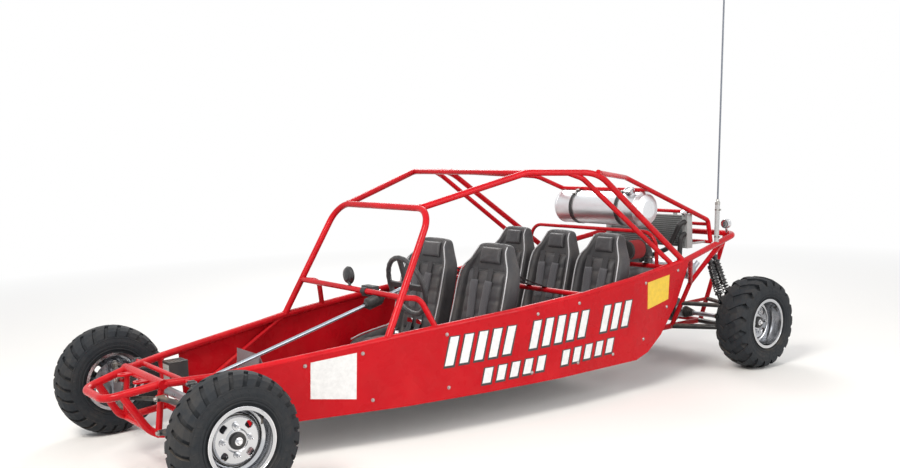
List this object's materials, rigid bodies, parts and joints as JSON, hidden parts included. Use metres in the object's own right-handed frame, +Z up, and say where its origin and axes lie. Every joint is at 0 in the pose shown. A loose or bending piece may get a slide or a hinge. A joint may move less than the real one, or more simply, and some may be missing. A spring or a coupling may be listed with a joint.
{
  "type": "dune buggy",
  "caption": "Long open sand buggy with a welded red tube frame, side panels, bucket seats in two rows, coil-over suspension, a rear engine and a rear-mounted tank.",
  "frame": {"origin": "on the ground, at the middle of the bounding box seen from above", "axes": "+Y points to the tail, +X to the vehicle's left, +Z up"},
  "size_m": [1.855, 4.535, 3.2714],
  "materials": {
    "frame_paint": "gloss",
    "arm_black": "satin",
    "panel_red": "gloss",
    "floor_metal": "brushed",
    "tyre_rubber": "matte",
    "wheel_chrome": "polished",
    "seat_black": "matte",
    "shock_black": "satin",
    "bare_steel": "machined",
    "engine_cast": "cast",
    "tank_metal": "polished",
    "radiator_metal": "matte",
    "hose_black": "matte",
    "box_black": "matte",
    "lamp_chrome": "polished",
    "holder_grey": "matte",
    "strap_black": "satin",
    "mirror_black": "satin",
    "mast_white": "gloss"
  },
  "bodies": {
    "chassis": {"battery_box": "box_black", "belt_rail_left": "frame_paint", "belt_rail_right": "frame_paint", "bottom_rail_left": "frame_paint", "bottom_rail_right": "frame_paint", "cabin_braces": "frame_paint", "cross_bars": "frame_paint", "engine": "engine_cast", "engine_cradle": "frame_paint", "exhaust": "bare_steel", "floor_pan": "floor_metal", "front_arms": "arm_black", "front_bay": "frame_paint", "front_cushions": "seat_black", "front_seats": "seat_black", "front_shocks": "shock_black", "fuel_tank": "tank_metal", "gear_lever": "arm_black", "mirror": "mirror_black", "nose_frame": "frame_paint", "pedals": "floor_metal", "radiator": "radiator_metal", "radiator_hoses": "hose_black", "rear_arms": "arm_black", "rear_brace_left": "frame_paint", "rear_brace_right": "frame_paint", "rear_carriers": "arm_black", "rear_cushions": "seat_black", "rear_lamp": "lamp_chrome", "rear_seats": "seat_black", "rear_shocks": "shock_black", "rear_stay_left": "frame_paint", "rear_stay_right": "frame_paint", "roof_rail_left": "frame_paint", "roof_rail_right": "frame_paint", "side_panel_left": "panel_red", "side_panel_right": "panel_red", "steering_rack": "bare_steel", "tail_bars": "frame_paint", "tank_straps": "strap_black", "transaxle": "engine_cast", "whip_holder": "holder_grey", "whip_mast": "mast_white", "windshield_hoop": "frame_paint"},
    "front_wheel_left": {"front_hub_left": "bare_steel", "front_rim_left": "wheel_chrome", "front_tyre_left": "tyre_rubber"},
    "front_wheel_right": {"front_hub_right": "bare_steel", "front_rim_right": "wheel_chrome", "front_tyre_right": "tyre_rubber"},
    "rear_wheel_left": {"half_shaft_left": "bare_steel", "rear_rim_left": "wheel_chrome", "rear_tyre_left": "tyre_rubber"},
    "rear_wheel_right": {"half_shaft_right": "bare_steel", "rear_rim_right": "wheel_chrome", "rear_tyre_right": "tyre_rubber"},
    "knuckle_left": {"knuckle_left": "bare_steel"},
    "knuckle_right": {"knuckle_right": "bare_steel"},
    "steering_wheel": {"steering_wheel": "seat_black"},
    "steering_link": {"tie_rods": "bare_steel"}
  },
  "joints": [
    {"name": "steer_left", "type": "hinge", "parent": "chassis", "child": "knuckle_left", "pos_m": [0.7125, -1.8925, 0.31], "axis": [0, 0, 1], "range_deg": [-28, 28]},
    {"name": "steer_right", "type": "hinge", "parent": "chassis", "child": "knuckle_right", "pos_m": [-0.7125, -1.8925, 0.31], "axis": [0, 0, 1], "range_deg": [-28, 28]},
    {"name": "steer_link_slide", "type": "slide", "parent": "chassis", "child": "steering_link", "axis": [1, 0, 0], "range_m": [-0.042, 0.042]},
    {"name": "steering_wheel_turn", "type": "hinge", "parent": "chassis", "child": "steering_wheel", "pos_m": [0.3, -0.5625, 0.8], "axis": [0.0205, 0.9654, 0.2602], "range_deg": [-180, 180]},
    {"name": "front_spin_left", "type": "hinge", "parent": "knuckle_left", "child": "front_wheel_left", "pos_m": [0.8075, -1.8925, 0.31], "axis": [1, 0, 0], "continuous": true},
    {"name": "rear_spin_left", "type": "hinge", "parent": "chassis", "child": "rear_wheel_left", "pos_m": [0.8075, 1.9575, 0.31], "axis": [1, 0, 0], "continuous": true},
    {"name": "front_spin_right", "type": "hinge", "parent": "knuckle_right", "child": "front_wheel_right", "pos_m": [-0.8075, -1.8925, 0.31], "axis": [1, 0, 0], "continuous": true},
    {"name": "rear_spin_right", "type": "hinge", "parent": "chassis", "child": "rear_wheel_right", "pos_m": [-0.8075, 1.9575, 0.31], "axis": [1, 0, 0], "continuous": true}
  ],
  "couplings": [
    {"joint": "steer_right", "follows": "steer_left", "ratio": 1},
    {"joint": "steer_link_slide", "follows": "steer_left", "m_per_rad": -0.085},
    {"joint": "steering_wheel_turn", "follows": "steer_left", "ratio": 6.4}
  ]
}
